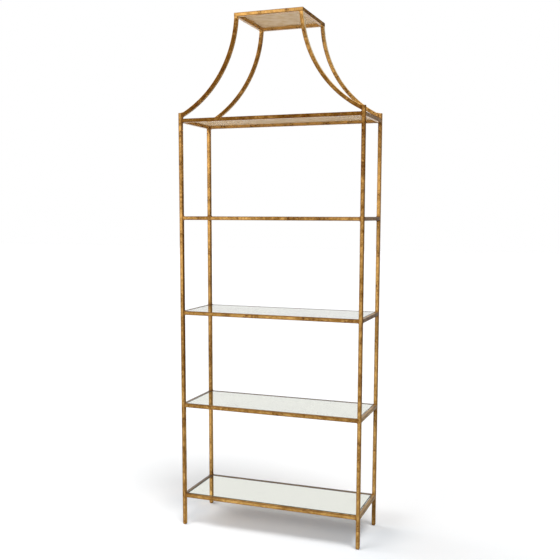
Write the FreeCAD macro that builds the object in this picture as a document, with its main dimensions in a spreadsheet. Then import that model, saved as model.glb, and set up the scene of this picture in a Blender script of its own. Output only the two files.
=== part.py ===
import FreeCAD, Part
import os
import Sketcher

# Pagoda etagere: a welded frame of square iron tube that holds five mirrored
# shelves between four legs, under a crown of four bent arches that carry a
# small square top.
# Millimetres. Origin: middle of the footprint, on the floor. +X is the right
# hand of a person facing the front, +Y the back, +Z up. Shelf 1 is the top
# shelf and shelf 5 the bottom one.

SHELVES = (1, 2, 3, 4, 5)
CORNERS = {
    "front_left": (-1, -1),
    "front_right": (1, -1),
    "rear_left": (-1, 1),
    "rear_right": (1, 1),
}

X_AXIS = FreeCAD.Vector(1, 0, 0)
Y_AXIS = FreeCAD.Vector(0, 1, 0)
Z_AXIS = FreeCAD.Vector(0, 0, 1)

ALONG_X = FreeCAD.Rotation(Y_AXIS, 90)
ALONG_Y = FreeCAD.Rotation(Z_AXIS, 90) * ALONG_X
UPSIDE_DOWN = FreeCAD.Rotation(X_AXIS, 180)

document = FreeCAD.newDocument("PagodaEtagere")
sizes = document.addObject("Spreadsheet::Sheet", "Sizes")
size_names = []
nodes = []


# ---------------------------------------------------------------- sizes

def add_size(name, value):
    """Add one named cell to the sheet: a plain number or a formula."""
    size_names.append(name)
    row = len(size_names)
    sizes.set("A%d" % row, name)
    sizes.set("B%d" % row, value)
    sizes.setAlias("B%d" % row, name)


# The frame as a whole.
add_size("overall_width", "914.4")
add_size("overall_depth", "333.4")
add_size("overall_height", "2472")

# The square tube that every leg, rail and arch is cut from.
add_size("tube", "17.5")
add_size("tube_wall", "1.5")
add_size("tube_corner", "2")

# Shelf heights, to the top face of the rails.
add_size("lowest_shelf", "161")
add_size("shelf_pitch", "461.5")
add_size("leg_above_shelf", "27")

# Crown: the arches' upper face starts just below the leg tops.
add_size("crown_side", "333.4")
add_size("arch_radius", "505")
add_size("arch_below_leg_top", "1")
add_size("arch_edge", "1.2")

# Mirror panes and the tabs that they lie on.
add_size("pane_thickness", "3")
add_size("pane_gap", "1.5")
add_size("pane_recess", "0.3")
add_size("pane_chamfer", "0.5")
add_size("tab_length", "25")
add_size("tab_width", "12")
add_size("tab_thickness", "3")

# Plugs that close the tubes: a flat plate on top, a tapered foot below.
add_size("plug_clearance", "0.1")
add_size("plug_lead_in", "1")
add_size("cap_plate", "1.5")
add_size("cap_stub", "8")
add_size("foot_height", "9")
add_size("foot_stub", "14")
add_size("foot_taper", "1.9")
add_size("foot_taper_height", "5")

# Sizes that follow from those above.
add_size("bore", "=tube - 2 * tube_wall")
add_size("inner_width", "=overall_width - 2 * tube")
add_size("inner_depth", "=overall_depth - 2 * tube")
add_size("crown_inner", "=crown_side - 2 * tube")
add_size("leg_x", "=(overall_width - tube) / 2")
add_size("leg_y", "=(overall_depth - tube) / 2")
add_size("crown_y", "=(crown_side - tube) / 2")
add_size("crown_underside", "=overall_height - tube")
for shelf in SHELVES:
    steps_up = len(SHELVES) - shelf
    add_size("shelf_%d_top" % shelf, "=lowest_shelf + %d * shelf_pitch" % steps_up)
add_size("leg_top", "=shelf_1_top + leg_above_shelf")
add_size("plug_side", "=bore - 2 * plug_clearance")

# The arch's upper face is an arc from the leg's inner face up to the outer
# corner of the crown. Its centre lies outside the frame, level with the top.
add_size("arch_foot_x", "=inner_width / 2")
add_size("arch_foot_z", "=leg_top - arch_below_leg_top")
add_size("arch_head_x", "=crown_side / 2")
add_size("arch_run", "=arch_foot_x - arch_head_x")
add_size("arch_climb", "=crown_underside - arch_foot_z")
add_size("arch_chord", "=sqrt(arch_run ^ 2 + arch_climb ^ 2)")
add_size("arch_offset", "=sqrt(arch_radius ^ 2 - arch_chord ^ 2 / 4)")
add_size("arch_mid_x", "=(arch_foot_x + arch_head_x) / 2")
add_size("arch_mid_z", "=(arch_foot_z + crown_underside) / 2")
add_size("arch_centre_x", "=arch_mid_x + arch_offset * arch_climb / arch_chord")
add_size("arch_centre_z", "=arch_mid_z + arch_offset * arch_run / arch_chord")
add_size("arch_lower_radius", "=arch_radius + tube")

# The bore of the arch, which is cut on past both of its ends.
add_size("bore_radius", "=arch_radius + tube_wall")
add_size("bore_lower_radius", "=arch_lower_radius - tube_wall")
add_size("bore_foot_x", "=arch_foot_x + tube_wall")
add_size("bore_head_z", "=crown_underside + tube_wall")

document.recompute()


def size(name):
    """The present value of one size, in millimetres."""
    return float(sizes.get(name))


# ---------------------------------------------------------------- tools

def add_body(name):
    """Start a sub-part that is built from sketches and features."""
    body = document.addObject("PartDesign::Body", name)
    body.Label = name
    nodes.append(body)
    return body


def place(part, x="0", y="0", z="0", turn=FreeCAD.Rotation()):
    """Turn a sub-part, then tie its position to the sheet."""
    part.Placement = FreeCAD.Placement(FreeCAD.Vector(), turn)
    part.setExpression("Placement.Base.x", x)
    part.setExpression("Placement.Base.y", y)
    part.setExpression("Placement.Base.z", z)


def add_sketch(body, name, plane):
    """A sketch on one of the body's own origin planes."""
    sketch = body.newObject("Sketcher::SketchObject", name)
    roles = {feature.Role: feature for feature in body.Origin.OriginFeatures}
    sketch.AttachmentSupport = (roles[plane], [""])
    sketch.MapMode = "FlatFace"
    return sketch


def drive(sketch, constraint, formula):
    """Add a dimension to a sketch and tie it to the sheet."""
    index = sketch.addConstraint(constraint)
    sketch.setExpression("Constraints[%d]" % index, formula)


def add_polygon(sketch, points):
    """Closed outline of straight lines; returns the index of each line."""
    lines = []
    for start, end in zip(points, points[1:] + points[:1]):
        segment = Part.LineSegment(FreeCAD.Vector(*start, 0), FreeCAD.Vector(*end, 0))
        lines.append(sketch.addGeometry(segment))
    for line, following in zip(lines, lines[1:] + lines[:1]):
        sketch.addConstraint(Sketcher.Constraint("Coincident", line, 2, following, 1))
    return lines


def add_rectangle(sketch, width, depth):
    """Rectangle about the sketch's origin, its sides given as sheet formulas."""
    half = size("tube") / 2
    corners = [(-half, -half), (half, -half), (half, half), (-half, half)]
    bottom, right, top, left = add_polygon(sketch, corners)
    for line in (bottom, top):
        sketch.addConstraint(Sketcher.Constraint("Horizontal", line))
    for line in (left, right):
        sketch.addConstraint(Sketcher.Constraint("Vertical", line))
    sketch.addConstraint(Sketcher.Constraint("Symmetric", bottom, 1, top, 1, -1, 1))
    drive(sketch, Sketcher.Constraint("DistanceX", bottom, 1, bottom, 2, 2 * half), width)
    drive(sketch, Sketcher.Constraint("DistanceY", right, 1, right, 2, 2 * half), depth)


def add_pad(body, name, sketch, length, centred=False, reverse=False):
    """Raise a sketch by a length that is given as a sheet formula."""
    pad = body.newObject("PartDesign::Pad", name)
    pad.Profile = sketch
    pad.SideType = "Symmetric" if centred else "One side"
    pad.Reversed = reverse
    pad.setExpression("Length", length)
    document.recompute()
    return pad


def add_pocket(body, name, sketch, length):
    """Cut a sketch to both sides of its plane, and prove that it cut."""
    before = body.Shape.Volume
    pocket = body.newObject("PartDesign::Pocket", name)
    pocket.Profile = sketch
    pocket.SideType = "Symmetric"
    pocket.setExpression("Length", length)
    document.recompute()
    if not pocket.Shape.Volume < before:
        raise RuntimeError("%s of %s removed nothing" % (name, body.Label))
    return pocket


def soften(body, kind, name, base, wanted, radius):
    """Fillet or chamfer those edges of a feature that pass a test."""
    edges = base.Shape.Edges
    chosen = ["Edge%d" % (i + 1) for i, edge in enumerate(edges) if wanted(edge)]
    if not chosen:
        raise RuntimeError("%s of %s found no edge" % (name, body.Label))
    feature = body.newObject("PartDesign::" + kind, name)
    feature.Base = (base, chosen)
    feature.setExpression("Radius" if kind == "Fillet" else "Size", radius)
    document.recompute()
    return feature


def runs_along_z(edge):
    """True for a straight edge in the body's own Z direction."""
    box = edge.BoundBox
    return isinstance(edge.Curve, Part.Line) and box.XLength + box.YLength < 0.01


def add_square_bar(body, length, centred=False):
    """Solid square bar along the body's Z axis with rounded long edges."""
    outline = add_sketch(body, "Outline", "XY_Plane")
    add_rectangle(outline, "Sizes.tube", "Sizes.tube")
    bar = add_pad(body, "Bar", outline, length, centred)
    return soften(body, "Fillet", "RoundEdges", bar, runs_along_z, "Sizes.tube_corner")


def add_square_tube(name, length, centred=False):
    """Square tube along the body's Z axis: the bar above, bored right through."""
    body = add_body(name)
    add_square_bar(body, length, centred)
    hole = add_sketch(body, "BoreOutline", "XY_Plane")
    add_rectangle(hole, "Sizes.bore", "Sizes.bore")
    add_pocket(body, "Bore", hole, "2 * (%s)" % length)
    return body


def add_plug(name, thickness, stub_length):
    """End plate as wide as the tube, over a square stub that fits in its bore."""
    body = add_body(name)
    add_square_bar(body, thickness)
    outline = add_sketch(body, "StubOutline", "XY_Plane")
    add_rectangle(outline, "Sizes.plug_side", "Sizes.plug_side")
    stub = add_pad(body, "Stub", outline, stub_length, reverse=True)
    lowest = stub.Shape.BoundBox.ZMin

    def at_stub_end(edge):
        return edge.BoundBox.ZMax < lowest + 0.01

    soften(body, "Chamfer", "LeadIn", stub, at_stub_end, "Sizes.plug_lead_in")
    return body


# ---------------------------------------------------------------- legs
# One length of tube each, from the top of the foot to the end plate.

LEG_LENGTH = "Sizes.leg_top - Sizes.cap_plate - Sizes.foot_height"

for corner, (side_x, side_y) in CORNERS.items():
    leg = add_square_tube("leg_" + corner, LEG_LENGTH)
    x = "%d * Sizes.leg_x" % side_x
    y = "%d * Sizes.leg_y" % side_y
    place(leg, x, y, "Sizes.foot_height")


# ---------------------------------------------------------------- end plates
# The leg tops are cut square and closed, with the stub down inside the tube.

for corner, (side_x, side_y) in CORNERS.items():
    cap = add_plug("leg_cap_" + corner, "Sizes.cap_plate", "Sizes.cap_stub")
    x = "%d * Sizes.leg_x" % side_x
    y = "%d * Sizes.leg_y" % side_y
    place(cap, x, y, "Sizes.leg_top - Sizes.cap_plate")


# ---------------------------------------------------------------- feet
# The same plug turned over and thicker: stub up inside the leg, and the end
# towards the floor tapered on all sides.

def add_taper(body):
    """Taper the floor end on all four sides and round its corners."""
    floor = size("foot_height")

    def at_floor_end(edge):
        return edge.BoundBox.ZMin > floor - 0.01

    taper = soften(body, "Chamfer", "Taper", body.Tip, at_floor_end, "Sizes.foot_taper")
    taper.ChamferType = "Two distances"
    taper.FlipDirection = True
    taper.setExpression("Size2", "Sizes.foot_taper_height")
    document.recompute()


for corner, (side_x, side_y) in CORNERS.items():
    foot = add_plug("foot_" + corner, "Sizes.foot_height", "Sizes.foot_stub")
    add_taper(foot)
    x = "%d * Sizes.leg_x" % side_x
    y = "%d * Sizes.leg_y" % side_y
    place(foot, x, y, "Sizes.foot_height", UPSIDE_DOWN)


# ---------------------------------------------------------------- shelf rails
# Four rails to a shelf, butted between the legs and flush with their outside.

for shelf in SHELVES:
    height = "Sizes.shelf_%d_top - Sizes.tube / 2" % shelf
    for side, y in (("front", "-Sizes.leg_y"), ("rear", "Sizes.leg_y")):
        rail = add_square_tube("shelf_%d_rail_%s" % (shelf, side), "Sizes.inner_width", True)
        place(rail, y=y, z=height, turn=ALONG_X)
    for side, x in (("left", "-Sizes.leg_x"), ("right", "Sizes.leg_x")):
        rail = add_square_tube("shelf_%d_rail_%s" % (shelf, side), "Sizes.inner_depth", True)
        place(rail, x=x, z=height, turn=ALONG_Y)


# ---------------------------------------------------------------- crown rails
# A square of four tubes with mitred corners. In the body the outer side of the
# tube faces -Y, and one pocket cuts both mitres.

def add_mitres(body):
    """Cut both ends of a centred tube at 45 degrees, longest on its -Y side."""
    over = size("tube_wall")
    half = size("tube") / 2
    end = size("crown_side") / 2
    sketch = add_sketch(body, "MitreOutline", "YZ_Plane")
    for way in (1, -1):
        corners = [
            (-half - over, way * (end + over)),
            (half + over, way * (end - 2 * half - over)),
            (half + over, way * (end + over)),
        ]
        mitre, inner, outer = add_polygon(sketch, corners)
        sketch.addConstraint(Sketcher.Constraint("Vertical", inner))
        sketch.addConstraint(Sketcher.Constraint("Horizontal", outer))
        drive(sketch, Sketcher.Constraint("DistanceX", mitre, 1, -1, 1, half + over),
              "Sizes.tube / 2 + Sizes.tube_wall")
        drive(sketch, Sketcher.Constraint("DistanceX", -1, 1, inner, 1, half + over),
              "Sizes.tube / 2 + Sizes.tube_wall")
        if way > 0:
            drive(sketch, Sketcher.Constraint("DistanceY", -1, 1, mitre, 1, end + over),
                  "Sizes.crown_side / 2 + Sizes.tube_wall")
            drive(sketch, Sketcher.Constraint("DistanceY", -1, 1, mitre, 2, end - over),
                  "Sizes.crown_side / 2 - Sizes.tube - Sizes.tube_wall")
        else:
            drive(sketch, Sketcher.Constraint("DistanceY", mitre, 1, -1, 1, end + over),
                  "Sizes.crown_side / 2 + Sizes.tube_wall")
            drive(sketch, Sketcher.Constraint("DistanceY", mitre, 2, -1, 1, end - over),
                  "Sizes.crown_side / 2 - Sizes.tube - Sizes.tube_wall")
    add_pocket(body, "Mitres", sketch, "2 * Sizes.tube")


CROWN_SIDES = {
    "front": ("0", "-Sizes.crown_y", 0),
    "right": ("Sizes.crown_y", "0", 90),
    "rear": ("0", "Sizes.crown_y", 180),
    "left": ("-Sizes.crown_y", "0", 270),
}

for side, (x, y, quarter_turn) in CROWN_SIDES.items():
    rail = add_square_tube("crown_rail_" + side, "Sizes.crown_side", True)
    add_mitres(rail)
    turn = FreeCAD.Rotation(Z_AXIS, quarter_turn) * ALONG_X
    place(rail, x, y, "Sizes.overall_height - Sizes.tube / 2", turn)


# ---------------------------------------------------------------- arches
# Tubes bent to a constant radius, hollow side up: each leaves the inner face
# of a leg, flush with the front or back of the frame, and ends square under a
# corner of the crown. Modelled as the left-hand one about its own mid-plane;
# half a turn about Z makes the right-hand one.

def add_arch_outline(body, name, upper_radius, lower_radius, foot_x, head_z):
    """Side view of the arch: two arcs about one centre, cut off at the leg and crown.

    The last four are names on the sheet: the radius of each arc, and the
    distances from the middle and from the floor at which the outline ends.
    """
    centre_x = -size("arch_centre_x")
    centre_z = size("arch_centre_z")
    leg_side = -size(foot_x)
    crown_side = size(head_z)
    inner = size(upper_radius)
    outer = size(lower_radius)

    def on_leg(radius):
        drop = (radius ** 2 - (leg_side - centre_x) ** 2) ** 0.5
        return FreeCAD.Vector(leg_side, centre_z - drop, 0)

    def on_crown(radius):
        across = (radius ** 2 - (crown_side - centre_z) ** 2) ** 0.5
        return FreeCAD.Vector(centre_x + across, crown_side, 0)

    sketch = add_sketch(body, name, "XZ_Plane")
    centre = FreeCAD.Vector(centre_x, centre_z, 0)
    arcs = []
    for radius in (inner, outer):
        circle = Part.Circle(centre, FreeCAD.Vector(0, 0, 1), radius)
        start = circle.parameter(on_leg(radius))
        end = circle.parameter(on_crown(radius))
        arcs.append(sketch.addGeometry(Part.ArcOfCircle(circle, start, end)))
    upper, lower = arcs
    leg_line = sketch.addGeometry(Part.LineSegment(on_leg(inner), on_leg(outer)))
    crown_line = sketch.addGeometry(Part.LineSegment(on_crown(inner), on_crown(outer)))

    sketch.addConstraint(Sketcher.Constraint("Coincident", upper, 1, leg_line, 1))
    sketch.addConstraint(Sketcher.Constraint("Coincident", lower, 1, leg_line, 2))
    sketch.addConstraint(Sketcher.Constraint("Coincident", upper, 2, crown_line, 1))
    sketch.addConstraint(Sketcher.Constraint("Coincident", lower, 2, crown_line, 2))
    sketch.addConstraint(Sketcher.Constraint("Coincident", upper, 3, lower, 3))
    sketch.addConstraint(Sketcher.Constraint("Vertical", leg_line))
    sketch.addConstraint(Sketcher.Constraint("Horizontal", crown_line))

    drive(sketch, Sketcher.Constraint("DistanceX", upper, 3, -1, 1, -centre_x),
          "Sizes.arch_centre_x")
    drive(sketch, Sketcher.Constraint("DistanceY", -1, 1, upper, 3, centre_z),
          "Sizes.arch_centre_z")
    drive(sketch, Sketcher.Constraint("Radius", upper, inner), "Sizes." + upper_radius)
    drive(sketch, Sketcher.Constraint("Radius", lower, outer), "Sizes." + lower_radius)
    drive(sketch, Sketcher.Constraint("DistanceX", leg_line, 1, -1, 1, -leg_side),
          "Sizes." + foot_x)
    drive(sketch, Sketcher.Constraint("DistanceY", -1, 1, crown_line, 1, crown_side),
          "Sizes." + head_z)
    return sketch


def is_bent(edge):
    """True for an edge that follows the bend of the arch."""
    return isinstance(edge.Curve, Part.Circle)


def add_arch(name):
    """One bent tube: padded to the tube's width, rounded along it, and bored."""
    body = add_body(name)
    outline = add_arch_outline(
        body, "Outline", "arch_radius", "arch_lower_radius", "arch_foot_x", "crown_underside")
    bar = add_pad(body, "Bar", outline, "Sizes.tube", centred=True)
    soften(body, "Chamfer", "EaseEdges", bar, is_bent, "Sizes.arch_edge")
    bore = add_arch_outline(
        body, "BoreOutline", "bore_radius", "bore_lower_radius", "bore_foot_x", "bore_head_z")
    add_pocket(body, "Bore", bore, "Sizes.bore")
    return body


for corner, (side_x, side_y) in CORNERS.items():
    arch = add_arch("crown_arch_" + corner)
    turn = FreeCAD.Rotation(Z_AXIS, 0 if side_x < 0 else 180)
    place(arch, y="%d * Sizes.leg_y" % side_y, turn=turn)


# ---------------------------------------------------------------- tabs
# Short flat tabs welded to the inside of the rails, under the edge of each
# pane: two to a long rail and one to a short rail.

def add_tabs(name, width, depth, long_side_at, top):
    """Tabs round an opening of this width and depth, as one group of solids."""
    group = document.addObject("Part::Compound", name)
    group.Label = name
    tabs = []

    def add_tab(x, y, length, breadth):
        tab = document.addObject("Part::Box", name + "_tab")
        tab.setExpression("Length", length)
        tab.setExpression("Width", breadth)
        tab.setExpression("Height", "Sizes.tab_thickness")
        tab.setExpression("Placement.Base.x", "%s - (%s) / 2" % (x, length))
        tab.setExpression("Placement.Base.y", "%s - (%s) / 2" % (y, breadth))
        tabs.append(tab)

    for side in (-1, 1):
        in_from_rail = "%d * (%s - Sizes.tab_width) / 2"
        for along in long_side_at:
            add_tab(along, in_from_rail % (side, depth), "Sizes.tab_length", "Sizes.tab_width")
        add_tab(in_from_rail % (side, width), "0", "Sizes.tab_width", "Sizes.tab_length")

    group.Links = tabs
    place(group, z="%s - Sizes.pane_recess - Sizes.pane_thickness - Sizes.tab_thickness" % top)
    nodes.append(group)


for shelf in SHELVES:
    quarters = ("-Sizes.inner_width / 4", "Sizes.inner_width / 4")
    top = "Sizes.shelf_%d_top" % shelf
    add_tabs("shelf_%d_tabs" % shelf, "Sizes.inner_width", "Sizes.inner_depth", quarters, top)
add_tabs("crown_tabs", "Sizes.crown_inner", "Sizes.crown_inner", ("0",), "Sizes.overall_height")


# ---------------------------------------------------------------- mirror panes
# Silvered glass with seamed edges. Each lies loose on its tabs, a hair below
# the rail tops and with a narrow gap all round.

def add_pane(name, width, depth, top):
    """One pane for an opening of this width and depth."""
    body = add_body(name)
    outline = add_sketch(body, "Outline", "XY_Plane")
    add_rectangle(outline, width + " - 2 * Sizes.pane_gap", depth + " - 2 * Sizes.pane_gap")
    glass = add_pad(body, "Glass", outline, "Sizes.pane_thickness")
    soften(body, "Chamfer", "SeamedEdges", glass, lambda edge: True, "Sizes.pane_chamfer")
    place(body, z="%s - Sizes.pane_recess - Sizes.pane_thickness" % top)


for shelf in SHELVES:
    top = "Sizes.shelf_%d_top" % shelf
    add_pane("shelf_%d_mirror" % shelf, "Sizes.inner_width", "Sizes.inner_depth", top)
add_pane("crown_mirror", "Sizes.crown_inner", "Sizes.crown_inner", "Sizes.overall_height")


# ---------------------------------------------------------------- output

document.recompute()

for item in document.Objects:
    if "Invalid" in item.State or "Error" in item.State:
        raise RuntimeError("%s did not build: %s" % (item.Label, item.State))
for node in nodes:
    if node.Shape.isNull() or not node.Shape.isValid():
        raise RuntimeError("%s has no valid shape" % node.Label)

os.makedirs("parts", exist_ok=True)
for node in nodes:
    node.Shape.exportStep("parts/%s.step" % node.Label)
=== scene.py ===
import math

import bpy
import numpy as np
from mathutils import Matrix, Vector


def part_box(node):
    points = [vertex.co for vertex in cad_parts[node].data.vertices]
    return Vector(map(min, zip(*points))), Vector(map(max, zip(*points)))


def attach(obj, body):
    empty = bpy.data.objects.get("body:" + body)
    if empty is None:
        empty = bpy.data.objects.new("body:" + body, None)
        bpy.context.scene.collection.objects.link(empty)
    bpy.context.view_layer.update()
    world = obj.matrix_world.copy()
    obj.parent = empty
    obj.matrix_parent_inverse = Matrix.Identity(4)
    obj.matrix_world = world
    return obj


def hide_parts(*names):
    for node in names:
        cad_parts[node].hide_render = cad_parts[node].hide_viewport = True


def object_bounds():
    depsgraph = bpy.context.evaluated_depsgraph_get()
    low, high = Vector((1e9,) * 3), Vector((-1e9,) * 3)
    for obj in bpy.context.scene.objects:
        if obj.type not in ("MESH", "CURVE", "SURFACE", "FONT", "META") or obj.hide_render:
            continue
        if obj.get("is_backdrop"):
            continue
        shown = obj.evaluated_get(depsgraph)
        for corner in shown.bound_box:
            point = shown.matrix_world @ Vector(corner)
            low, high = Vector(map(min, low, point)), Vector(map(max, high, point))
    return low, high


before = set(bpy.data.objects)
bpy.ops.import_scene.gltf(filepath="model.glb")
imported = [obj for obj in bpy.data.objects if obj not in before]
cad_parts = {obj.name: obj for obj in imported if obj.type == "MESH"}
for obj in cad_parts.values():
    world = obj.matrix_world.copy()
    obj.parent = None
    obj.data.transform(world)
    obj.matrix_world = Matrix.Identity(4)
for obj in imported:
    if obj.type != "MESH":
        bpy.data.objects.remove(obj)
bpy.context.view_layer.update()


# ------------------------------------------------------------------ camera
# A view from the front and a little to the right. The eye is level with the
# second shelf and looks a little down, and the frame is shifted slightly up.

EYE = (1.3464, -3.6832, 1.5576)
TURN_LEFT = math.radians(20.069)
TILT_DOWN = math.radians(6.632)
ROLL = math.radians(0.156)
SENSOR_WIDTH = 36.0
FOCAL_LENGTH = 51.872
SHIFT_UP = 0.04974

camera_data = bpy.data.cameras.new("camera")
camera_data.sensor_width = SENSOR_WIDTH
camera_data.lens = FOCAL_LENGTH
camera_data.shift_y = SHIFT_UP
camera = bpy.data.objects.new("camera", camera_data)
bpy.context.scene.collection.objects.link(camera)
bpy.context.scene.camera = camera
camera.matrix_world = (
    Matrix.Translation(EYE)
    @ Matrix.Rotation(TURN_LEFT, 4, "Z")
    @ Matrix.Rotation(math.pi / 2 - TILT_DOWN, 4, "X")
    @ Matrix.Rotation(ROLL, 4, "Z")
)


# ------------------------------------------------------------------ studio
# A pale floor in a white room. Soft light falls from the front left, from above
# and from the left. The eye sees the room as plain white, and mirror and glass
# see it darken a little upward. Its own light is brightest from the front left.

class Strand:
    """One socket among a finish's nodes, so that a pattern reads as arithmetic."""

    def __init__(self, tree, socket=None):
        self.tree = tree
        self.socket = socket

    def node(self, kind, settings, sockets, out=0):
        """Add a node: its settings first, then the values or links of its sockets."""
        made = self.tree.nodes.new(kind)
        for name, value in settings.items():
            setattr(made, name, value)
        for name, value in sockets.items():
            if isinstance(value, Strand):
                self.tree.links.new(value.socket, made.inputs[name])
            else:
                made.inputs[name].default_value = value
        return Strand(self.tree, made.outputs[out])

    def maths(self, operation, first, second=0.0):
        settings = {"operation": operation}
        return self.node("ShaderNodeMath", settings, {0: first, 1: second})

    def __add__(self, other):
        return self.maths("ADD", self, other)

    def __mul__(self, other):
        return self.maths("MULTIPLY", self, other)

    def __sub__(self, other):
        return self.maths("SUBTRACT", self, other)

    def __rsub__(self, other):
        return self.maths("SUBTRACT", other, self)

    __radd__ = __add__
    __rmul__ = __mul__

    def at_least(self, other):
        return self.maths("MAXIMUM", self, other)

    def between(self, low, high):
        """0 below low and 1 above high, with a smooth rise between them."""
        settings = {"interpolation_type": "SMOOTHSTEP", "clamp": True}
        sockets = {"Value": self, "From Min": low, "From Max": high}
        return self.node("ShaderNodeMapRange", settings, sockets)

    def tint(self, first, second):
        """A colour that goes from first to second as this value goes from 0 to 1."""
        settings = {"data_type": "RGBA", "blend_type": "MIX"}
        return self.node("ShaderNodeMix", settings, {0: self, 6: first, 7: second}, 2)

    def dot(self, vector):
        settings = {"operation": "DOT_PRODUCT"}
        return self.node("ShaderNodeVectorMath", settings, {0: self, 1: vector}, 1)

    def lay(self, kind="ShaderNodeOutputMaterial"):
        """Join this shader to an output node of the given kind."""
        output = self.tree.nodes.new(kind)
        self.tree.links.new(self.socket, output.inputs["Surface"])


def srgb(red, green, blue):
    """A colour given as on a paint chart, 0 to 255, as the shader wants it."""
    channels = np.array([red, green, blue]) / 255.0
    linear = np.where(channels <= 0.04045, channels / 12.92, ((channels + 0.055) / 1.055) ** 2.4)
    return (*linear.tolist(), 1.0)


def new_material(name):
    """An empty node material, and a strand to build its finish from."""
    material = bpy.data.materials.new(name)
    material.use_nodes = True
    material.node_tree.nodes.clear()
    return material, Strand(material.node_tree)


def eye_rays(strand):
    """Two strands: 1 on a ray straight from the eye, and 1 on that or one by mirror or glass."""
    direct = strand.node("ShaderNodeLightPath", {}, {}, "Is Camera Ray")
    path = direct.socket.node
    mirrored = direct
    for ray in ("Is Glossy Ray", "Is Transmission Ray"):
        mirrored = mirrored.at_least(Strand(strand.tree, path.outputs[ray]))
    return direct, mirrored


WHITE = srgb(255, 255, 255)
CEILING_FALL = 0.42
KEY_FROM = np.array([-0.52, -0.78, 0.35]) / math.hypot(0.52, 0.78, 0.35)
ROOM_LIGHT = 0.24
ROOM_SLOPE = 1.1

world = bpy.data.worlds.new("white_room")
bpy.context.scene.world = world
bpy.context.scene.view_settings.view_transform = "Standard"
world.use_nodes = True
world.node_tree.nodes.clear()
room = Strand(world.node_tree)
direct, mirrored = eye_rays(room)
towards = room.node("ShaderNodeTexCoord", {}, {}, "Generated")
upward = towards.dot((0.0, 0.0, 1.0)).at_least(0.0)
white = 1.0 - (1.0 - direct) * upward * CEILING_FALL
key_side = towards.dot((*KEY_FROM[:2].tolist(), 0.0))
lit = (ROOM_LIGHT * (1.0 + ROOM_SLOPE * key_side)).at_least(0.0)
strength = mirrored * (white - lit) + lit
background = room.node("ShaderNodeBackground", {}, {"Color": WHITE, "Strength": strength})
background.lay("ShaderNodeOutputWorld")

KEY_LIGHT = 0.585
TOP_FROM = (0.30, -0.30, 1.0)
TOP_LIGHT = 0.47
SIDE_FROM = (-0.74, 0.05, 0.85)
SIDE_LIGHT = 0.32
WIDE = math.radians(40)
NARROW = math.radians(22)
NO_LAMP_FROM = (0.0, 1.0, 0.02)


def add_sun(name, came_from, level, spread):
    """A soft far lamp; level is how bright white paper facing it becomes.

    A lamp shines down its own -Z axis. Its X axis is square to that and to
    NO_LAMP_FROM, a way that no lamp shines, and its Y axis is square to both.
    """
    data = bpy.data.lights.new(name, "SUN")
    data.energy = math.pi * level
    data.angle = spread
    lamp = bpy.data.objects.new(name, data)
    bpy.context.scene.collection.objects.link(lamp)
    direction = -np.array(came_from) / np.linalg.norm(came_from)
    side = np.cross(direction, NO_LAMP_FROM)
    side /= np.linalg.norm(side)
    up = np.cross(side, direction)
    lamp.matrix_world = Matrix(np.column_stack([side, up, -direction]).tolist()).to_4x4()


add_sun("key_lamp", KEY_FROM, KEY_LIGHT, WIDE)
add_sun("top_lamp", TOP_FROM, TOP_LIGHT, NARROW)
add_sun("side_lamp", SIDE_FROM, SIDE_LIGHT, WIDE)

# The floor gives more light back on the left than on the right. To the eye its
# tone is lifted a little: coolly in the shadow under the shelves, which makes
# that a neutral grey, and almost evenly beside, behind and in front of it.

FLOOR_REACH = 30.0
FLOOR_TONE = (0.938, 0.938, 0.938, 1.0)
FLOOR_LIFT = 0.058
SHADE_LIFT = (0.2, 1.0, 1.8, 1.0)
OPEN_LIFT = (0.8, 1.0, 1.2, 1.0)
BESIDE = (0.42, 0.8)
BEHIND = (0.0, 0.25)
IN_FRONT = (0.25, 0.6)
BOUNCE_LEFT = (0.95, 0.95, 0.95, 1.0)
BOUNCE_RIGHT = (0.36, 0.36, 0.36, 1.0)
LEFT_TO_RIGHT = (-1.2, 1.4)

floor_mesh = bpy.data.meshes.new("floor")
corners = np.array([[-1, -1, 0], [1, -1, 0], [1, 1, 0], [-1, 1, 0]]) * FLOOR_REACH
floor_mesh.from_pydata(corners.tolist(), [], [(0, 1, 2, 3)])
floor = bpy.data.objects.new("floor", floor_mesh)
bpy.context.scene.collection.objects.link(floor)
floor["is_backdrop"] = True

floor_finish, paint = new_material("pale_floor")
matt = paint.node("ShaderNodeBsdfDiffuse", {}, {"Color": FLOOR_TONE})
spot = paint.node("ShaderNodeTexCoord", {}, {}, "Object")
across, along = (paint.node("ShaderNodeSeparateXYZ", {}, {0: spot}, axis) for axis in "XY")
bounced = across.between(*LEFT_TO_RIGHT).tint(BOUNCE_LEFT, BOUNCE_RIGHT)
bounce = paint.node("ShaderNodeBsdfDiffuse", {}, {"Color": bounced})
beside = paint.maths("ABSOLUTE", across).between(*BESIDE)
behind = along.between(*BEHIND)
in_front = (-1.0 * along).between(*IN_FRONT)
lifting = beside.at_least(behind).at_least(in_front).tint(SHADE_LIFT, OPEN_LIFT)
lift = paint.node("ShaderNodeEmission", {}, {"Color": lifting, "Strength": FLOOR_LIFT})
lifted = paint.node("ShaderNodeAddShader", {}, {0: matt, 1: lift})
seen = eye_rays(paint)[1]
paint.node("ShaderNodeMixShader", {}, {0: seen, 1: bounce, 2: lifted}).lay()
floor_mesh.materials.append(floor_finish)


# ------------------------------------------------------------------ gilding
# The whole frame is gilded: leaf over red bole and gesso, rubbed through in
# patches, then glazed brown, with the glaze left in pits, seams and edges.

LOW_LEAF = srgb(209, 167, 98)
HIGH_LEAF = srgb(215, 165, 94)
LOW_GLAZED = srgb(112, 74, 23)
HIGH_GLAZED = srgb(108, 69, 18)
# Palest leaf, also used as a painted highlight on the arches' upper sides.
PALE_LEAF_AND_HIGHLIGHT = srgb(255, 232, 186)
DARK_GLAZE = srgb(44, 22, 7)
BOLE = srgb(86, 36, 12)
# Grey of the wax and dust film, also used as painted shade and painted grey reflection.
DUST_AND_SHADE = srgb(104, 94, 80)
LOW_TO_HIGH = (0.3, 2.1)


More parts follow.
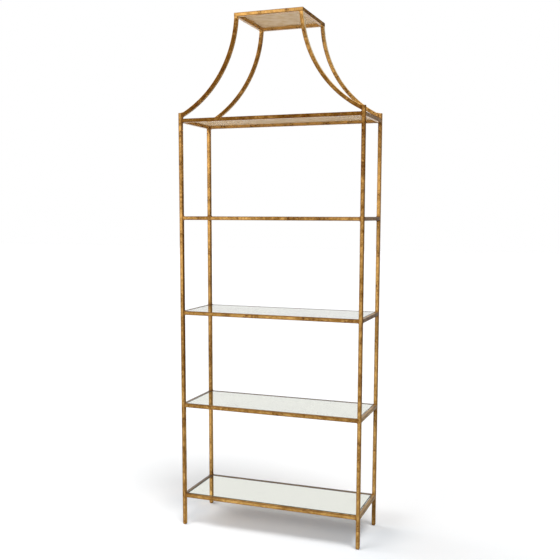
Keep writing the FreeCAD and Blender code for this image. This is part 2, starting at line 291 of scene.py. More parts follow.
def cloud(place, per_metre, detail, roughness=0.5, twist=0.0):
    """A cloudy pattern over a place, one half on average, finer with more detail."""
    sockets = {
        "Vector": place, "Scale": per_metre, "Detail": detail,
        "Roughness": roughness, "Distortion": twist,
    }
    return place.node("ShaderNodeTexNoise", {}, sockets)


def gilded_finish(name, bare_leaf=0.0):
    """The gilt finish, in metres of the object's own space.

    Pieces carry four numbers: leaf, how bright the leaf is, which on some faces
    also holds painted light and shade; edge, 1 on the ridges of the tube; seam, 1
    where a joint is rubbed red; and the fourth, how much grey film of wax and dust
    lies on a face, which also stands as painted shade and painted grey reflection
    on rail tops and sides. bare_leaf is the leaf of a piece with none.
    """
    material, gilt = new_material(name)
    place = gilt.node("ShaderNodeTexCoord", {}, {}, "Object")
    height = gilt.node("ShaderNodeSeparateXYZ", {}, {0: place}, "Z").between(*LOW_TO_HIGH)
    rise = gilt.node("ShaderNodeNewGeometry", {}, {}, "Normal").dot((0.0, 0.0, 1.0))
    downward = (-1.0 * rise).between(0.5, 0.95)

    def carried(number):
        return gilt.node("ShaderNodeAttribute", {"attribute_name": number}, {}, "Fac")

    broad = cloud(place, per_metre=9.0, detail=3.0, roughness=0.6)
    clusters = cloud(place, per_metre=15.0, detail=3.0, roughness=0.6)
    patchy = cloud(place, per_metre=42.0, detail=6.0, roughness=0.66, twist=0.6)
    blotchy = cloud(place, per_metre=95.0, detail=5.0, roughness=0.7, twist=1.2)
    gritty = cloud(place, per_metre=120.0, detail=5.0, roughness=0.65)
    flecks = cloud(place, per_metre=190.0, detail=4.0, roughness=0.65)
    specks = cloud(place, per_metre=620.0, detail=2.0)

    # The leaf, from worn and glazed to bright, and palest where nothing rubs it. On the arches'
    # upper sides the palest leaf is a painted highlight.
    bright = carried("leaf") + bare_leaf
    bright = bright + 1.2 * (broad - 0.5) + 2.4 * (patchy - 0.5) + 1.2 * (flecks - 0.5)
    glazed = height.tint(LOW_GLAZED, HIGH_GLAZED)
    colour = bright.between(-0.3, 1.3).tint(glazed, height.tint(LOW_LEAF, HIGH_LEAF))
    colour = bright.between(2.0, 4.2).tint(colour, PALE_LEAF_AND_HIGHLIGHT)

    # Red bole, where the leaf is gone in blotches, on ridges and round joints.
    blotches = blotchy.between(0.53, 0.58) * clusters.between(0.52, 0.59)
    ridge = carried("edge") * (0.35 + 0.45 * patchy.between(0.44, 0.58))
    joint = carried("seam") * (0.55 + 0.9 * (flecks - 0.35))
    colour = (blotches * 0.9).at_least(ridge).at_least(joint).tint(colour, BOLE)

    # Dark glaze that has stayed in pits, and a grey film of wax and dust on top, which is also
    # painted shade and painted grey reflection on rail tops and sides.
    pitted = flecks.between(0.56, 0.62) * clusters.between(0.50, 0.62)
    fine = specks.between(0.62, 0.70) * clusters.between(0.44, 0.62)
    dark = (pitted * 0.8).at_least(fine * 0.6)
    colour = dark.tint(colour, DARK_GLAZE)
    dust_and_shade_film = carried("dust_and_shade")
    dust_and_shade_tone = dust_and_shade_film * (0.6 + 0.8 * (patchy - 0.5))
    colour = dust_and_shade_tone.tint(colour, DUST_AND_SHADE)

    rough = 0.46 + 0.16 * dark + 0.16 * dust_and_shade_tone - 0.1 * bright.between(0.4, 1.2)
    metal = (0.05 + 0.09 * bright.between(0.2, 1.0) - 0.08 * dark - 0.14 * dust_and_shade_tone).at_least(0.0)
    coat = 0.01 + 0.66 * downward + 0.6 * dust_and_shade_film
    relief = 0.5 * gritty + 0.25 * specks - 0.8 * pitted - 0.4 * blotches
    bump = gilt.node("ShaderNodeBump", {}, {"Strength": 0.55, "Distance": 0.0008, "Height": relief})
    gilt.node("ShaderNodeBsdfPrincipled", {}, {
        "Base Color": colour, "Roughness": rough, "Metallic": metal, "Normal": bump,
        "IOR": 1.45, "Specular IOR Level": 0.001,
        "Coat Weight": coat, "Coat Roughness": 0.22, "Coat IOR": 1.5,
    }).lay()
    return material


gilding = gilded_finish("gilding")


# ------------------------------------------------------------------ legs
# Square iron tube, one length from the foot to the end plate. The gesso and
# leaf leave its faces a little uneven and soften its corners.

MM = 0.001
CORNER = 2.0 * MM
UNEVEN = 0.16 * MM
STATION = 6.0 * MM
SHELVES = (1, 2, 3, 4, 5)

leg_low, leg_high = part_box("leg_front_left")
HALF = (leg_high.x - leg_low.x) / 2
RAIL_TOPS = [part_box("shelf_%d_rail_front" % shelf)[1].z for shelf in SHELVES]

WAVE_SEED = 11
WAVE_COUNT = 14
SHORTEST_WAVE = 9 * MM
LONGEST_WAVE = 90 * MM

waves = np.random.default_rng(WAVE_SEED)
wave_ways = waves.normal(size=(WAVE_COUNT, 3))
wave_ways /= np.linalg.norm(wave_ways, axis=1, keepdims=True)
wave_lengths = np.geomspace(SHORTEST_WAVE, LONGEST_WAVE, WAVE_COUNT)
wave_shifts = waves.uniform(0, 2 * math.pi, WAVE_COUNT)


def unevenness(points):
    """How far the gesso stands in from the true face: a sum of plane waves.

    Each wave is the sine of the point's distance along the wave's direction
    over its length, and the sum is squeezed to lie between 0 and UNEVEN.
    """
    phase = points @ (wave_ways / wave_lengths[:, None]).T * 2 * math.pi + wave_shifts
    return UNEVEN * (0.5 + 0.5 * np.tanh(np.sin(phase).sum(-1) / math.sqrt(WAVE_COUNT)))


def square_section(half, corner, arc_steps=5, flat_shares=(0.12, 0.5, 0.88)):
    """A square with rounded corners: its points, the way out, and the ridges.

    Each corner is a quarter circle about a centre that is one radius in from
    both sides; each side has points at the given shares of its flat length.
    """
    turn = np.linspace(0, math.pi / 2, arc_steps + 1)
    arc = np.column_stack([np.cos(turn), np.sin(turn)])
    points, ways, ridges = [], [], []
    for quarter in range(4):
        c, s = math.cos(quarter * math.pi / 2), math.sin(quarter * math.pi / 2)
        spin = np.array([[c, s], [-s, c]])
        bend = ((half - corner) + corner * arc) @ spin
        points.append(bend)
        ways.append(arc @ spin)
        ridges.append(np.ones(len(turn)))
        share = np.array(flat_shares)[:, None]
        flat_end = np.array([[-(half - corner), half]]) @ spin
        points.append(bend[-1] + share * (flat_end - bend[-1]))
        ways.append(np.repeat(arc[-1:] @ spin, len(share), axis=0))
        ridges.append(np.zeros(len(share)))
    return np.vstack(points), np.vstack(ways), np.concatenate(ridges)


def closed_skin(grid):
    """Faces of a tube given as rings of points: quads between rings, flat ends.

    The volume that the quads enclose, summed from the middle, comes out below
    zero where they face inward, and all faces are then turned round.
    """
    rings, around = grid.shape[:2]
    index = np.arange(rings * around).reshape(rings, around)
    following = np.roll(index, -1, axis=1)
    quads = np.stack([index[:-1], following[:-1], following[1:], index[1:]], -1).reshape(-1, 4)
    faces = quads.tolist() + [index[0][::-1].tolist(), index[-1].tolist()]
    middle = grid.reshape(-1, 3).mean(0)
    a, b, c, d = (grid.reshape(-1, 3)[quads[:, i]] - middle for i in range(4))
    volume = (np.cross(a, b) * c).sum() + (np.cross(a, c) * d).sum()
    return [face[::-1] for face in faces] if volume < 0 else faces


def add_piece(name, points, faces, finish, body, sharp=35):
    """A mesh piece that rides on a body, smooth except over sharp edges."""
    mesh = bpy.data.meshes.new(name)
    mesh.from_pydata(np.asarray(points).tolist(), [], faces)
    mesh.shade_smooth()
    mesh.set_sharp_from_angle(angle=math.radians(sharp))
    mesh.materials.append(finish)
    piece = bpy.data.objects.new(name, mesh)
    bpy.context.scene.collection.objects.link(piece)
    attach(piece, body)
    return piece


def add_values(piece, name, values):
    """Store one number per point, for the finish to read."""
    attribute = piece.data.attributes.new(name, "FLOAT", "POINT")
    attribute.data.foreach_set("value", np.asarray(values, np.float32).ravel())


def add_gilt_skin(name, grid, ways, ridges, seams, leaf, dust_and_shade=0.0):
    """A gilded tube from rings of points, sunk to its uneven surface."""
    grid = grid - ways * unevenness(grid)[..., None]
    piece = add_piece(name, grid.reshape(-1, 3), closed_skin(grid), gilding, "frame")
    for number, values in {"edge": ridges, "seam": seams, "leaf": leaf, "dust_and_shade": dust_and_shade}.items():
        add_values(piece, number, np.broadcast_to(values, grid.shape[:2]))
    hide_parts(name.removesuffix("_gilt"))


def by_face(ways, outside, outer, inner, top, under):
    """One number for each side of a tube, shared out by the way a point faces.

    The shares are the squares of the parts of the way out, which add up to 1.
    """
    out = ways @ np.array(outside, float)
    up = ways[..., 2]
    shares = [np.clip(part, 0, 1) ** 2 for part in (out, -out, up, -up)]
    return sum(share * number for share, number in zip(shares, (outer, inner, top, under)))


section, section_ways, section_ridges = square_section(HALF, CORNER)


def straight_tube(start, end, outside, mitre=0.0, sink=0.0):
    """Rings of points for a straight tube, and the way out at each point.

    A point lies on the line from start to end, plus its section's offset along
    the tube's outside and across it. mitre shortens the inner side at both
    ends by that share of its distance in; sink runs the ends on by that much.
    """
    start, end, outside = (np.array(v, float) for v in (start, end, outside))
    along = (end - start) / np.linalg.norm(end - start)
    over = np.cross(along, outside)
    steps = max(2, round(np.linalg.norm(end - start) / STATION))
    share = np.linspace(0, 1, steps + 1)[:, None]
    cut = mitre * (HALF - section[:, 0]) - sink
    offsets = section[:, :1] * outside + section[:, 1:] * over
    first = start + offsets + cut[:, None] * along
    last = end + offsets - cut[:, None] * along
    grid = first[None] + share[..., None] * (last - first)[None]
    ways = section_ways[:, :1] * outside + section_ways[:, 1:] * over
    return grid, np.broadcast_to(ways, grid.shape)


SEAM_REACH = 5.0 * MM

# Leaf on each leg at the middle of each bay, from the lowest up, and what its
# left and right faces have more of it.
BAY_MIDDLES = (0.40, 0.85, 1.31, 1.78)
LEAF_UP_LEG = {
    "front_left": (0.30, 0.18, 0.72, 0.46),
    "front_right": (0.52, 0.42, 0.56, 0.34),
    "rear_left": (0.70, 0.38, 0.76, 1.05),
    "rear_right": (0.55, 0.70, 1.05, 0.68),
}
LEAF_BESIDE = {
    "front_left": (0.6, -0.2, -1.3, 0.2),
    "front_right": (0.45, 0.1, -0.3, 0.2),
    "rear_left": (1.3, 0.8, -0.3, 0.05),
    "rear_right": (0.4, -0.2, -0.15, 0.3),
}

CORNERS = {
    "front_left": (-1, -1), "front_right": (1, -1),
    "rear_left": (-1, 1), "rear_right": (1, 1),
}


def upright(low, high):
    """Where the upright line through the middle of a box stands."""
    return (low.x + high.x) / 2, (low.y + high.y) / 2


for corner, (side_x, side_y) in CORNERS.items():
    low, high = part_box("leg_" + corner)
    x, y = upright(low, high)
    grid, ways = straight_tube((x, y, low.z), (x, y, high.z), (0.0, float(side_y), 0.0))
    inner = np.clip(-(ways[..., 0] * side_x + ways[..., 1] * side_y), 0, 1)
    gaps = [np.maximum(np.abs(grid[..., 2] - (top - HALF)) - HALF, 0) for top in RAIL_TOPS]
    near = np.exp(-np.min(gaps, axis=0) / SEAM_REACH)
    leaf = np.interp(grid[..., 2], BAY_MIDDLES, LEAF_UP_LEG[corner])
    leaf = leaf + ways[..., 0] ** 2 * np.interp(grid[..., 2], BAY_MIDDLES, LEAF_BESIDE[corner])
    add_gilt_skin("leg_%s_gilt" % corner, grid, ways, section_ridges, near * inner, leaf)


# ------------------------------------------------------------------ end plates
# A flat iron plate is welded over the open top of each leg. Its edge is dressed
# and softened by the gesso.

CAP_ROUND = 0.9 * MM
CAP_STEPS = 5
CAP_SEAM = 0.6
CAP_SEAM_REACH = 0.6 * MM
CAP_LEAF = 0.5


def stacked(low, high, levels, shares, outlines):
    """Outlines set level over level on a box's upright line, and the way out.

    Each outline is scaled by its share, and the ways out stay level.
    """
    rings = outlines * shares[:, None, None]
    level_grid = np.broadcast_to(levels[:, None, None], rings.shape[:2] + (1,))
    grid = np.concatenate([rings + upright(low, high), level_grid], axis=2)
    ways = np.zeros_like(grid)
    ways[..., :2] = section_ways
    return grid, ways


for corner in CORNERS:
    low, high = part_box("leg_cap_" + corner)
    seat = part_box("leg_" + corner)[1].z
    turn = np.linspace(0, math.pi / 2, CAP_STEPS)
    levels = np.concatenate([[seat], high.z - CAP_ROUND * (1 - np.sin(turn))])
    shares = np.concatenate([[1.0], 1 - CAP_ROUND * (1 - np.cos(turn)) / HALF])
    grid, ways = stacked(low, high, levels, shares, section[None])
    seams = CAP_SEAM * np.exp(-(grid[..., 2] - seat) / CAP_SEAM_REACH)
    add_gilt_skin("leg_cap_%s_gilt" % corner, grid, ways, section_ridges, seams, CAP_LEAF)


# ------------------------------------------------------------------ feet
# Each leg stands on an iron foot as wide as the tube, which plugs into it. It
# is domed underneath, from square to a small round flat, and scuffed there.

FOOT_FLAT = 0.36
FOOT_DOME = 7.0 * MM
FOOT_STEPS = 9
FOOT_SEAM = 0.6
FOOT_SEAM_REACH = 0.8 * MM
FOOT_SCUFF = 0.4
FOOT_SCUFF_REACH = 2.0 * MM
FOOT_RIDGE = 0.5
FOOT_LEAF = 0.4

for corner in CORNERS:
    low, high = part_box("foot_" + corner)
    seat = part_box("leg_" + corner)[0].z
    full = math.acos(FOOT_FLAT)
    turn = np.linspace(0, full, FOOT_STEPS)
    levels = np.concatenate([[seat], FOOT_DOME * (1 - np.sin(turn) / math.sin(full))])
    shares = np.concatenate([[1.0], np.cos(turn)])
    roundness = np.concatenate([[0.0], np.sin(turn) ** 2])[:, None, None]
    disc = HALF * section / np.linalg.norm(section, axis=1, keepdims=True)
    outlines = section * (1 - roundness) + disc * roundness
    grid, ways = stacked(low, high, levels, shares, outlines)
    seams = FOOT_SEAM * np.exp(-(seat - grid[..., 2]) / FOOT_SEAM_REACH)
    seams = seams + FOOT_SCUFF * np.exp(-grid[..., 2] / FOOT_SCUFF_REACH)
    ridges = FOOT_RIDGE * section_ridges
    add_gilt_skin("foot_%s_gilt" % corner, grid, ways, ridges, seams, FOOT_LEAF)


# ------------------------------------------------------------------ shelf rails
# Four lengths of iron tube to a shelf, butted between the legs and welded, with
# the outer seams ground flush. Wax and dust lie on the rear ones and the sides,
# and their grey film is also painted shade on the tops and painted grey reflection
# on the side rails.

INTO_LEG = 0.4 * MM

# The way that each side faces.
SIDES = {"front": (0, -1, 0), "rear": (0, 1, 0), "left": (-1, 0, 0), "right": (1, 0, 0)}

# Leaf on the outer faces of each shelf's rails: front, rear, left and right.
LEAF_ON_SHELF = {
    1: (-0.04, 0.4, 0.4, 0.5),
    2: (0.42, 0.4, 0.3, 0.2),
    3: (0.44, 0.4, 0.3, 0.0),
    4: (0.30, 0.4, 0.3, 0.75),
    5: (0.48, 0.4, 0.3, 0.8),
}
# Leaf on the rails' inner faces, raised as painted light where too little lamp light reaches under
# the panes.
LEAF_AND_LIGHT_INSIDE = 1.0
# Leaf on each rail's top, with painted shade on the rear tops under the pane above and painted
# light on the right tops.
LEAF_LIGHT_AND_SHADE_ON_TOP = {"front": 0.3, "rear": -0.5, "left": 0.1, "right": 0.9}
# Leaf on the undersides, raised partly as painted light from the floor below.
LEAF_AND_LIGHT_UNDER = 1.4
# Grey film on each rail's top and outer face: wax and dust, and also painted shade under the pane
# above and a painted grey reflection on the side rails.
DUST_AND_SHADE_ON_TOP = {"front": 0.15, "rear": 1.2, "left": 1.2, "right": 0.8}
DUST_AND_SHADE_OUTSIDE = {"front": 0.0, "rear": 0.0, "left": 0.35, "right": 0.35}
SEAM_AT_LEG = 0.8


def rail_line(name, outside):
    """The middle line of a rail from end to end, and the axis it runs along."""
    low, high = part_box(name)
    axis = 1 if outside[0] else 0
    start, end = list((low + high) / 2), list((low + high) / 2)
    start[axis], end[axis] = low[axis], high[axis]
    return start, end, axis


def end_seams(grid, axis):
    """1 where a rail ends, falling off along the rail."""
    place = grid[..., axis]
    gap = np.minimum(place - place.min(), place.max() - place)
    return np.exp(-gap / SEAM_REACH)


for shelf in SHELVES:
    for (side, outside), outer_leaf in zip(SIDES.items(), LEAF_ON_SHELF[shelf]):
        name = "shelf_%d_rail_%s" % (shelf, side)
        start, end, axis = rail_line(name, outside)
        grid, ways = straight_tube(start, end, outside, sink=INTO_LEG)
        seams = SEAM_AT_LEG * end_seams(grid, axis)
        leaf = by_face(ways, outside, outer_leaf, LEAF_AND_LIGHT_INSIDE, LEAF_LIGHT_AND_SHADE_ON_TOP[side], LEAF_AND_LIGHT_UNDER)
        dust_and_shade = by_face(ways, outside, DUST_AND_SHADE_OUTSIDE[side], 0.0, DUST_AND_SHADE_ON_TOP[side], 0.0)
        add_gilt_skin(name + "_gilt", grid, ways, section_ridges, seams, leaf, dust_and_shade)


# ------------------------------------------------------------------ crown rails
# A square of four iron tubes, mitred and welded at the corners and dressed
# flush. It is as deep as the shelves and carries a pane as they do.

LEAF_ON_CROWN = {"front": 0.74, "rear": 0.65, "left": 0.6, "right": 0.45}
# Leaf on the crown rails' inner faces, raised as painted light under the crown pane.
LEAF_AND_LIGHT_IN_CROWN = 1.3
LEAF_ON_CROWN_TOP = 0.6
SEAM_AT_MITRE = 0.35

for side, outside in SIDES.items():
    name = "crown_rail_" + side
    start, end, axis = rail_line(name, outside)
    grid, ways = straight_tube(start, end, outside, mitre=1.0)
    seams = SEAM_AT_MITRE * end_seams(grid, axis)
    leaf = by_face(ways, outside, LEAF_ON_CROWN[side], LEAF_AND_LIGHT_IN_CROWN, LEAF_ON_CROWN_TOP, LEAF_AND_LIGHT_UNDER)
    add_gilt_skin(name + "_gilt", grid, ways, section_ridges, seams, leaf)


# ------------------------------------------------------------------ arches
# Four iron tubes bent to one radius, hollow side up. Each leaves the inner face
# of a leg, flush with the front or back, and ends square under a corner of the
# crown.

ARCH_RADIUS = 505.0 * MM
BELOW_LEG_TOP = 1.0 * MM

# Leaf at two stations along each arch: on its sides, its upper side and its
# underside. The upper side's pale leaf is a painted highlight of the light from
# above, and the underside's bright leaf is partly painted light from the floor.
# The ridges of the upper side get no red bole, so they keep the painted highlight.
LEAF_STATIONS = (0.25, 0.75)
LEAF_UP_ARCH = {
    "front_left": (-0.3, -0.15),
    "front_right": (-0.06, 0.35),
    "rear_left": (0.02, 0.08),
    "rear_right": (0.54, 0.64),
}
LEAF_AND_HIGHLIGHT_OVER_ARCH = (4.1, 3.5)
LEAF_AND_LIGHT_UNDER_ARCH = (1.6, 0.9)
# Brighter leaf near each arch's head: a painted highlight where it meets the crown.
HIGHLIGHT_AT_HEAD = 1.2
HEAD_REACH = 9.85 * MM
SEAM_AT_FOOT = 0.8
FOOT_REACH = 5.47 * MM
RIDGE_LIMIT = 0.05

arch_low, arch_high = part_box("crown_arch_front_left")
leg_face = arch_low.x
crown_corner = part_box("crown_rail_front")[0].x
crown_under = arch_high.z
leg_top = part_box("leg_cap_front_left")[1].z
arch_start = leg_top - BELOW_LEG_TOP

low_end = np.array([leg_face, arch_start])
high_end = np.array([crown_corner, crown_under])
chord = high_end - low_end
chord_length = np.linalg.norm(chord)
outward = np.array([-chord[1], chord[0]]) / chord_length
reach = math.sqrt(ARCH_RADIUS ** 2 - (chord_length / 2) ** 2)
arch_centre = (low_end + high_end) / 2 + reach * outward


def bent_tube(side_x, y):
    """Rings of points for one arch, the way out at each point, and its length.

    A point's radius is the arch's radius plus its section's depth. Its angle
    runs evenly from where that radius meets the leg's face to where it meets
    the crown's underside, so both ends are cut flat.
    """
    radius = ARCH_RADIUS + HALF + section[:, 0]
    first = -np.arccos((leg_face - arch_centre[0]) / radius)
    last = np.arcsin((crown_under - arch_centre[1]) / radius)
    length = ARCH_RADIUS * (last - first).mean()
    share = np.linspace(0, 1, round(length / STATION) + 1)[:, None]
    angle = first + share * (last - first)
    x = arch_centre[0] + radius * np.cos(angle)
    z = arch_centre[1] + radius * np.sin(angle)
    grid = np.stack([side_x * -x, np.broadcast_to(y + section[:, 1], x.shape), z], -1)
    ways = np.stack([
        side_x * -np.cos(angle) * section_ways[:, 0],
        np.broadcast_to(section_ways[:, 1], x.shape),
        np.sin(angle) * section_ways[:, 0],
    ], -1)
    return grid, ways, length


for corner, (side_x, _) in CORNERS.items():
    name = "crown_arch_" + corner
    grid, ways, length = bent_tube(side_x, upright(*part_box(name))[1])
    share = np.linspace(0, 1, len(grid))[:, None]
    flank = np.interp(share, LEAF_STATIONS, LEAF_UP_ARCH[corner])
    upper = np.interp(share, LEAF_STATIONS, LEAF_AND_HIGHLIGHT_OVER_ARCH)
    lower = np.interp(share, LEAF_STATIONS, LEAF_AND_LIGHT_UNDER_ARCH)
    over, under = (np.clip(way * section_ways[:, 0], 0, 1) ** 2 for way in (-1, 1))
    leaf = flank * (1 - over - under) + upper * over + lower * under
    # Brighter leaf towards the head, a painted highlight where the arch meets the crown.
    leaf = leaf + HIGHLIGHT_AT_HEAD * np.exp(-(1 - share) * length / HEAD_REACH)
    seams = SEAM_AT_FOOT * np.exp(-share * length / FOOT_REACH)
    ridges = section_ridges * (over < RIDGE_LIMIT)
    add_gilt_skin(name + "_gilt", grid, ways, ridges, seams, leaf)


# ------------------------------------------------------------------ welds
# A short bead of weld in each inside corner of the joints: on top of a rail
# and under it, in the corner between two rails, and round the arches' ends. A
# broad bead fairs each arch's upper side into its leg.

BEAD = 3.4 * MM
SMALL_BEAD = 0.7 * BEAD
FAIRING = 12.0 * MM
FAIRING_BELOW_TOP = 0.6 * MM
RIPPLE = 2.3 * MM
RIPPLE_HEIGHT = 0.06
RIPPLE_STARTS = (0, 6)
BEAD_SUNK = 0.25 * MM
BEAD_BOW = 0.16
BEAD_SIZES = (0.85, 1.1)
BEAD_END = 0.35
BEAD_RINGS = 17
BEAD_FACE_POINTS = 7
UNDER_PANE = 4.0 * MM

HAND_SEED = 5
hand = np.random.default_rng(HAND_SEED)


def bead(start, end, way_a, way_b, size=BEAD):
    """Rings of points for a bead of weld along the corner from start to end.

    A ring runs from the corner out along way_a, across in a shallow bow to
    way_b, and back. Its size ripples as a sine along the bead, and draws in
    at both ends as a quarter circle does.
    """
    start, end, way_a, way_b = (np.array(v, float) for v in (start, end, way_a, way_b))
    length = np.linalg.norm(end - start)
    share = np.linspace(0, 1, BEAD_RINGS)
    off_end = np.minimum(share, 1 - share) * length / size
    draw_in = BEAD_END + (1 - BEAD_END) * np.sqrt(1 - (1 - np.minimum(off_end, 1)) ** 2)
    start_angle = hand.uniform(*RIPPLE_STARTS)
    ripple = 1 + RIPPLE_HEIGHT * np.sin(share * length / RIPPLE * 2 * math.pi + start_angle)
    reach = size * draw_in * ripple * hand.uniform(*BEAD_SIZES)
    across = np.linspace(0, 1, BEAD_FACE_POINTS)[:, None]
    face = (1 - across) * way_a + across * way_b
    face = face + BEAD_BOW * np.sin(across * math.pi) * (way_a + way_b)
    line = start + share[:, None] * (end - start) - BEAD_SUNK * (way_a + way_b)
    rings = line[:, None] + reach[:, None, None] * face
    return np.concatenate([line[:, None], rings], axis=1)


def add_beads(name, beads, leaf, seam):
    """One gilded piece from many beads."""
    points, faces = [], []
    for grid in beads:
        first = sum(len(part) for part in points)
        faces += [[first + point for point in face] for face in closed_skin(grid)]
        points.append(grid.reshape(-1, 3))
    piece = add_piece(name, np.vstack(points), faces, gilding, "frame", sharp=50)
    count = len(piece.data.vertices)
    for number, value in {"edge": 0.0, "seam": seam, "leaf": leaf, "dust_and_shade": 0.0}.items():
        add_values(piece, number, np.full(count, value))


inner_x = abs(leg_face)
outer_x = inner_x + 2 * HALF
outer_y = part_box("leg_rear_left")[1].y
inner_y = outer_y - 2 * HALF

for shelf, top in zip(SHELVES, RAIL_TOPS):
    beads = []
    for side_x, side_y in CORNERS.values():
        in_x, in_y = np.array([-side_x, 0, 0]), np.array([0, -side_y, 0])
        for level, up in ((top, 1), (top - 2 * HALF, -1)):
            long_rail = [(side_x * inner_x, side_y * y, level) for y in (outer_y, inner_y)]
            short_rail = [(side_x * x, side_y * inner_y, level) for x in (outer_x, inner_x)]
            beads.append(bead(*long_rail, in_x, (0, 0, up)))
            beads.append(bead(*short_rail, in_y, (0, 0, up)))
        below_pane, bottom = top - UNDER_PANE, top - 2 * HALF
        between = [(side_x * inner_x, side_y * inner_y, level) for level in (below_pane, bottom)]
        beads.append(bead(*between, in_x, in_y, SMALL_BEAD))
    add_beads("shelf_%d_welds" % shelf, beads, leaf=0.3, seam=0.45)

# About how far a step along the arch goes across and up where it leaves the
# leg, at its underside and at its upper side.
UNDERSIDE_STEP = (0.89, 0.456)
UPPER_STEP = (0.889, 0.458)

beads = []
crown_out = abs(crown_corner)
crown_in = crown_out - 2 * HALF
over_pane = crown_under + (2 * HALF - UNDER_PANE)
fairing_level = leg_top - FAIRING_BELOW_TOP
for side_x, side_y in CORNERS.values():
    in_x, in_y = np.array([-side_x, 0, 0]), np.array([0, -side_y, 0])
    under_arch = [(side_x * inner_x, side_y * y, arch_low.z) for y in (outer_y, inner_y)]
    along_under = (-side_x * UNDERSIDE_STEP[0], 0, UNDERSIDE_STEP[1])
    beads.append(bead(*under_arch, along_under, (0, 0, -1)))
    over_arch = [(side_x * inner_x, side_y * y, fairing_level) for y in (outer_y, inner_y)]
    along_upper = (-side_x * UPPER_STEP[0], 0, UPPER_STEP[1])
    beads.append(bead(*over_arch, -in_x, along_upper, FAIRING))
    head = [(side_x * crown_in, side_y * y, crown_under) for y in (outer_y, inner_y)]
    beads.append(bead(*head, in_x, (0, 0, -1)))
    flank = [(side_x * x, side_y * inner_y, crown_under) for x in (crown_out, crown_in)]
    beads.append(bead(*flank, in_y, (0, 0, -1)))
    inside = [(side_x * crown_in, side_y * inner_y, level) for level in (crown_under, over_pane)]
    beads.append(bead(*inside, in_x, in_y, SMALL_BEAD))
# The crown's beads get bright leaf and no red seam: a painted highlight where the arches meet the
# crown.
add_beads("crown_welds", beads, leaf=1.0, seam=0.0)


# ------------------------------------------------------------------ tabs
# Short flat strips of iron welded inside the rails, which the panes lie on.
# They are gilded over, and nothing rubs them, so their leaf is bright.

TAB_LEAF = 2.6
FRAMES = ["shelf_%d" % shelf for shelf in SHELVES] + ["crown"]

tab_gilding = gilded_finish("tab_gilding", TAB_LEAF)

for pane_frame in FRAMES:
    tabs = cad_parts[pane_frame + "_tabs"]
    for place in tabs.material_slots:
        place.material = tab_gilding


# ------------------------------------------------------------------ mirror panes
# Float glass with seamed edges, silvered on its back, loose on the tabs. The
# silver is sealed with a coat of light gold-brown paint, which shows from below.
# The lowest pane has a wider ground edge on top. The dark green of the ground
# edges is painted shade, as of the gap round each pane.

GLASS_TINT = (0.980, 0.990, 0.962, 1.0)
SILVER = (0.972, 0.976, 0.925, 1.0)
DULLED_SILVER = tuple(0.97 * channel for channel in SILVER[:3]) + (1.0,)
BACK_PAINT = srgb(226, 199, 164)
BACK_MOTTLE = srgb(213, 180, 134)
# Dark greens of the ground edges, painted shade as of the gap round each pane.
DARK_EDGE_SHADE = srgb(46, 58, 50)
PALE_EDGE_SHADE = srgb(70, 84, 74)
PANE_SEAM = 1.2 * MM
LOW_PANE_SHADE_SEAM = 4.5 * MM
PANE_CORNER = 1.6 * MM
PANE_CORNER_STEPS = 5
BACKING = 0.25 * MM
BACKING_OVERLAP = 0.04 * MM
LEVEL = 0.98


def glass_finish():
    """Clear glass with a faint green tint and a few faint smears."""
    material, glass = new_material("pane_glass")
    place = glass.node("ShaderNodeTexCoord", {}, {}, "Object")
    smear = cloud(place, per_metre=14.0, detail=3.0, roughness=0.6).between(0.5, 0.75)
    glass.node("ShaderNodeBsdfPrincipled", {}, {
        "Base Color": GLASS_TINT, "Roughness": 0.01 + 0.03 * smear,
        "IOR": 1.5, "Transmission Weight": 1.0,
    }).lay()
    return material


def silver_finish():
    """Silvering that looks up through the glass, with a faint haze."""
    material, silver = new_material("silvering")
    place = silver.node("ShaderNodeTexCoord", {}, {}, "Object")
    haze = cloud(place, per_metre=9.0, detail=2.0).between(0.45, 0.8)
    silver.node("ShaderNodeBsdfPrincipled", {}, {
        "Base Color": haze.tint(SILVER, DULLED_SILVER),
        "Roughness": 0.02 + 0.02 * haze, "Metallic": 1.0,
    }).lay()
    return material


def back_paint_finish():
    """Sprayed paint on the back of the silver, a little mottled."""
    material, coat = new_material("back_paint")
    place = coat.node("ShaderNodeTexCoord", {}, {}, "Object")
    mottle = cloud(place, per_metre=26.0, detail=1.5).between(0.3, 0.75)
    grain = cloud(place, per_metre=90.0, detail=1.0)
    bump = coat.node("ShaderNodeBump", {}, {"Strength": 0.1, "Distance": 0.0003, "Height": grain})
    coat.node("ShaderNodeBsdfPrincipled", {}, {
        "Base Color": mottle.tint(BACK_PAINT, BACK_MOTTLE),
        "Roughness": 0.5 + 0.1 * mottle, "Normal": bump, "Specular IOR Level": 0.1,
    }).lay()
    return material


def ground_edge_finish():
    """The seamed edge of the glass: ground matt, with the green of its depth, and dark as painted
    shade.
    """
    material, edge = new_material("ground_edge")
    place = edge.node("ShaderNodeTexCoord", {}, {}, "Object")
    grain = cloud(place, per_metre=1400.0, detail=2.0)
    edge.node("ShaderNodeBsdfPrincipled", {}, {
        "Base Color": grain.between(0.3, 0.7).tint(DARK_EDGE_SHADE, PALE_EDGE_SHADE),
        "Roughness": 0.55 + 0.2 * grain,
    }).lay()
    return material


glass_look = glass_finish()
edge_look = ground_edge_finish()
silver_look = silver_finish()
back_look = back_paint_finish()


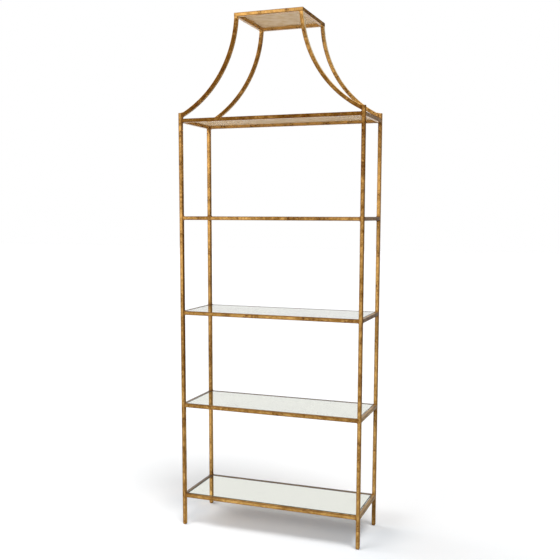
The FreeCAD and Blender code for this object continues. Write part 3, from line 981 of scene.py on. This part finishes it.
def plate(low, high, levels, insets, corner):
    """Rings of points for a flat plate, one ring to each level and inset.

    A ring is the plate's outline with rounded corners, drawn in by its inset.
    """
    turn = np.linspace(0, math.pi / 2, PANE_CORNER_STEPS)
    rings = []
    for level, inset in zip(levels, insets):
        ring = []
        for quarter, (sx, sy) in enumerate(((1, 1), (-1, 1), (-1, -1), (1, -1))):
            centre_x = (high.x if sx > 0 else low.x) - sx * (inset + corner)
            centre_y = (high.y if sy > 0 else low.y) - sy * (inset + corner)
            angle = turn + quarter * math.pi / 2
            x = centre_x + corner * np.cos(angle)
            y = centre_y + corner * np.sin(angle)
            ring.append(np.column_stack([x, y, np.full(len(turn), level)]))
        rings.append(np.vstack(ring))
    return np.array(rings)


def face_rises(piece):
    """How far each face of a piece looks up: 1 straight up, -1 straight down."""
    normals = np.empty(3 * len(piece.data.polygons), np.float32)
    piece.data.polygons.foreach_get("normal", normals)
    return normals[2::3]


def add_look(piece, look, chosen):
    """Give a second look to the faces that are chosen."""
    piece.data.materials.append(look)
    piece.data.polygons.foreach_set("material_index", chosen.astype(np.int32))


for pane in FRAMES:
    node, body = pane + "_mirror", pane + "_pane"
    low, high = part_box(node)
    underside = low.z + BACKING
    upper_seam = LOW_PANE_SHADE_SEAM if pane == "shelf_5" else PANE_SEAM
    levels = [underside, underside + PANE_SEAM, high.z - PANE_SEAM, high.z]
    grid = plate(low, high, levels, [PANE_SEAM, 0, 0, upper_seam], PANE_CORNER)
    points, faces = grid.reshape(-1, 3), closed_skin(grid)
    glass = add_piece(pane + "_glass", points, faces, glass_look, body, sharp=8)
    add_look(glass, edge_look, np.abs(face_rises(glass)) < LEVEL)
    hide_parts(node)

    levels = [low.z, underside + BACKING_OVERLAP]
    grid = plate(low, high, levels, [PANE_SEAM, PANE_SEAM], PANE_CORNER)
    points, faces = grid.reshape(-1, 3), closed_skin(grid)
    backing = add_piece(pane + "_backing", points, faces, back_look, body, sharp=20)
    add_look(backing, silver_look, face_rises(backing) > LEVEL)


# ------------------------------------------------------------------ bounds
low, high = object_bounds()
